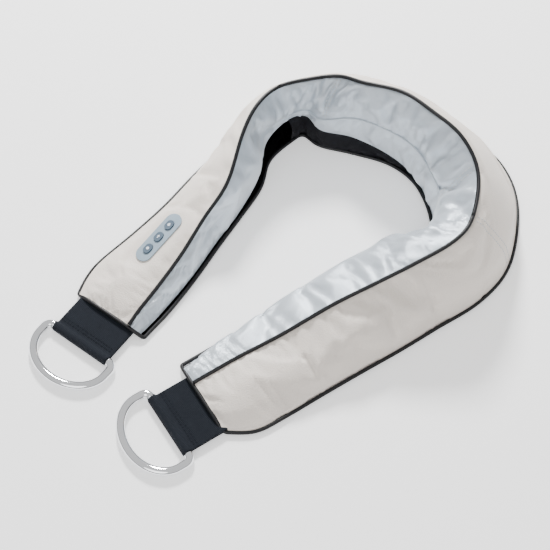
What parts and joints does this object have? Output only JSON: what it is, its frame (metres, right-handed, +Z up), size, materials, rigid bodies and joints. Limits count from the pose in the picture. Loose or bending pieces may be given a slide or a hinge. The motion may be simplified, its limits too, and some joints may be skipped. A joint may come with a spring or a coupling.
{
  "type": "shiatsu neck massager",
  "caption": "U-shaped padded neck massager with rotating kneading heads in its back, a control pod on one arm, and pull straps ending in round-wire hand rings.",
  "frame": {"origin": "centre of the footprint, on the surface the collar lies on", "axes": "+Y from the hand rings to the back of the neck, +Z up from the base, X across the collar"},
  "size_m": [0.2931, 0.4676, 0.1038],
  "materials": {
    "cream_leatherette": "soft matt leatherette",
    "silver_satin": "satin weave",
    "black_lining": "plain weave",
    "foam": "open foam",
    "black_piping": "satin",
    "webbing": "ribbed webbing",
    "chrome": "polished",
    "housing_plastic": "matt",
    "white_nylon": "matt",
    "bearing_brass": "machined",
    "steel": "brushed",
    "circuit_board": "solder mask",
    "chip_black": "matt",
    "lamp_glass": "clear",
    "head_plastic": "gloss",
    "carrier_grey": "matt",
    "panel_silver": "metallic gloss",
    "button_blue": "satin"
  },
  "bodies": {
    "neck": {"neck_outer_cover": "cream_leatherette", "neck_satin_panel": "silver_satin", "neck_lining": "black_lining", "neck_base_cover": "black_lining", "neck_foam": "foam", "neck_ridge_piping": "black_piping", "neck_outer_piping": "black_piping", "neck_inner_piping": "black_piping", "dc_socket": "housing_plastic", "front_plate": "housing_plastic", "rear_plate": "housing_plastic", "carrier_bushes": "bearing_brass", "plate_spacers": "steel", "plate_screws": "steel", "motor": "steel", "motor_plate": "steel", "worm_bearing": "bearing_brass", "lamp_board": "circuit_board", "warming_lamps": "lamp_glass", "power_board": "circuit_board", "board_parts": "chip_black"},
    "worm": {"worm": "steel"},
    "left_drive": {"left_wheel": "white_nylon", "left_carrier": "carrier_grey"},
    "left_outer_head": {"left_outer_head": "head_plastic"},
    "left_inner_head": {"left_inner_head": "head_plastic"},
    "left_arm": {"left_arm_outer_cover": "cream_leatherette", "left_arm_satin_panel": "silver_satin", "left_arm_base_cover": "black_lining", "left_arm_foam": "foam", "left_arm_ridge_piping": "black_piping", "left_arm_outer_piping": "black_piping", "left_arm_inner_piping": "black_piping", "left_arm_end_piping": "black_piping", "control_bezel": "panel_silver", "control_board": "circuit_board"},
    "left_strap": {"left_strap": "webbing"},
    "left_ring": {"left_ring": "chrome"},
    "right_drive": {"right_wheel": "white_nylon", "right_carrier": "carrier_grey"},
    "right_outer_head": {"right_outer_head": "head_plastic"},
    "right_inner_head": {"right_inner_head": "head_plastic"},
    "right_arm": {"right_arm_outer_cover": "cream_leatherette", "right_arm_satin_panel": "silver_satin", "right_arm_base_cover": "black_lining", "right_arm_foam": "foam", "right_arm_ridge_piping": "black_piping", "right_arm_outer_piping": "black_piping", "right_arm_inner_piping": "black_piping", "right_arm_end_piping": "black_piping"},
    "right_strap": {"right_strap": "webbing"},
    "right_ring": {"right_ring": "chrome"},
    "power_button": {"power_button": "button_blue"},
    "direction_button": {"direction_button": "button_blue"},
    "heat_button": {"heat_button": "button_blue"}
  },
  "joints": [
    {"name": "left_arm_flex", "type": "hinge", "parent": "neck", "child": "left_arm", "pos_m": [-0.1385, 0.0358, 0.03], "axis": [0, 0, -1], "range_deg": [-3, 18], "stiffness_Nm_per_rad": 2},
    {"name": "right_arm_flex", "type": "hinge", "parent": "neck", "child": "right_arm", "pos_m": [0.1405, 0.0578, 0.03], "axis": [0, 0, 1], "range_deg": [-3, 18], "stiffness_Nm_per_rad": 2},
    {"name": "left_strap_fold", "type": "hinge", "parent": "left_arm", "child": "left_strap", "pos_m": [-0.06062, -0.15766, 0.0047], "axis": [-0.9743, -0.2251, 0], "range_deg": [-60, 70]},
    {"name": "left_ring_swing", "type": "hinge", "parent": "left_strap", "child": "left_ring", "pos_m": [-0.05334, -0.18918, 0.0047], "axis": [-0.9743, -0.2251, 0], "range_deg": [-100, 100]},
    {"name": "right_strap_fold", "type": "hinge", "parent": "right_arm", "child": "right_strap", "pos_m": [0.06304, -0.14677, 0.0047], "axis": [-0.9903, 0.139, 0], "range_deg": [-60, 70]},
    {"name": "right_ring_swing", "type": "hinge", "parent": "right_strap", "child": "right_ring", "pos_m": [0.05854, -0.17881, 0.0047], "axis": [-0.9903, 0.139, 0], "range_deg": [-100, 100]},
    {"name": "right_drive_spin", "type": "hinge", "parent": "neck", "child": "right_drive", "pos_m": [0.0456, 0.1753, 0.046], "axis": [0, 1, 0], "continuous": true},
    {"name": "left_drive_spin", "type": "hinge", "parent": "neck", "child": "left_drive", "pos_m": [-0.0106, 0.1753, 0.046], "axis": [0, 1, 0], "continuous": true},
    {"name": "worm_spin", "type": "hinge", "parent": "neck", "child": "worm", "pos_m": [0.0175, 0.1753, 0.046], "axis": [0, 0, 1], "continuous": true},
    {"name": "left_outer_head_spin", "type": "hinge", "parent": "left_drive", "child": "left_outer_head", "pos_m": [-0.0256, 0.1598, 0.046], "axis": [0, 1, 0], "continuous": true},
    {"name": "left_inner_head_spin", "type": "hinge", "parent": "left_drive", "child": "left_inner_head", "pos_m": [0.0044, 0.1598, 0.046], "axis": [0, 1, 0], "continuous": true},
    {"name": "right_outer_head_spin", "type": "hinge", "parent": "right_drive", "child": "right_outer_head", "pos_m": [0.0606, 0.1598, 0.046], "axis": [0, 1, 0], "continuous": true},
    {"name": "right_inner_head_spin", "type": "hinge", "parent": "right_drive", "child": "right_inner_head", "pos_m": [0.0306, 0.1598, 0.046], "axis": [0, 1, 0], "continuous": true},
    {"name": "power_press", "type": "slide", "parent": "left_arm", "child": "power_button", "axis": [0.1005, 0.2009, -0.9744], "range_m": [0, 0.001], "stiffness_N_per_m": 300},
    {"name": "direction_press", "type": "slide", "parent": "left_arm", "child": "direction_button", "axis": [0.1005, 0.2009, -0.9744], "range_m": [0, 0.001], "stiffness_N_per_m": 300},
    {"name": "heat_press", "type": "slide", "parent": "left_arm", "child": "heat_button", "axis": [0.1005, 0.2009, -0.9744], "range_m": [0, 0.001], "stiffness_N_per_m": 300}
  ],
  "couplings": [
    {"joint": "left_drive_spin", "follows": "right_drive_spin", "ratio": -1},
    {"joint": "worm_spin", "follows": "right_drive_spin", "ratio": -34}
  ]
}
